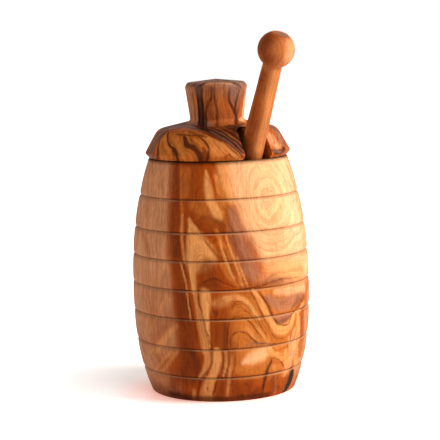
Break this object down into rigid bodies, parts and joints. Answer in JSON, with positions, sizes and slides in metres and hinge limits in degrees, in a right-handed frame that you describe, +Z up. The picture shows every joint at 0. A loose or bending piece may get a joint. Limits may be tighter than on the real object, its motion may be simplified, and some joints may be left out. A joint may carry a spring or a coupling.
{
  "type": "honey jar with dipper",
  "caption": "Turned olive-wood honey pot: a grooved barrel jar, a domed lid with a knob and a notch, and a wooden dipper leaning out of it.",
  "frame": {"origin": "centre of the flat base, on the surface that the jar stands on", "axes": "+Z up along the turned jar's axis; -Y towards the lid's notch, where the dipper leans out"},
  "size_m": [0.0786, 0.0901, 0.1586],
  "materials": {
    "jar_wood": "oiled olive wood, satin",
    "lid_wood": "oiled dark-veined olive wood, satin",
    "dipper_wood": "plain close-grained wood, matt"
  },
  "bodies": {
    "root": {"jar": "jar_wood", "lid": "lid_wood", "dipper": "dipper_wood"}
  },
  "joints": []
}
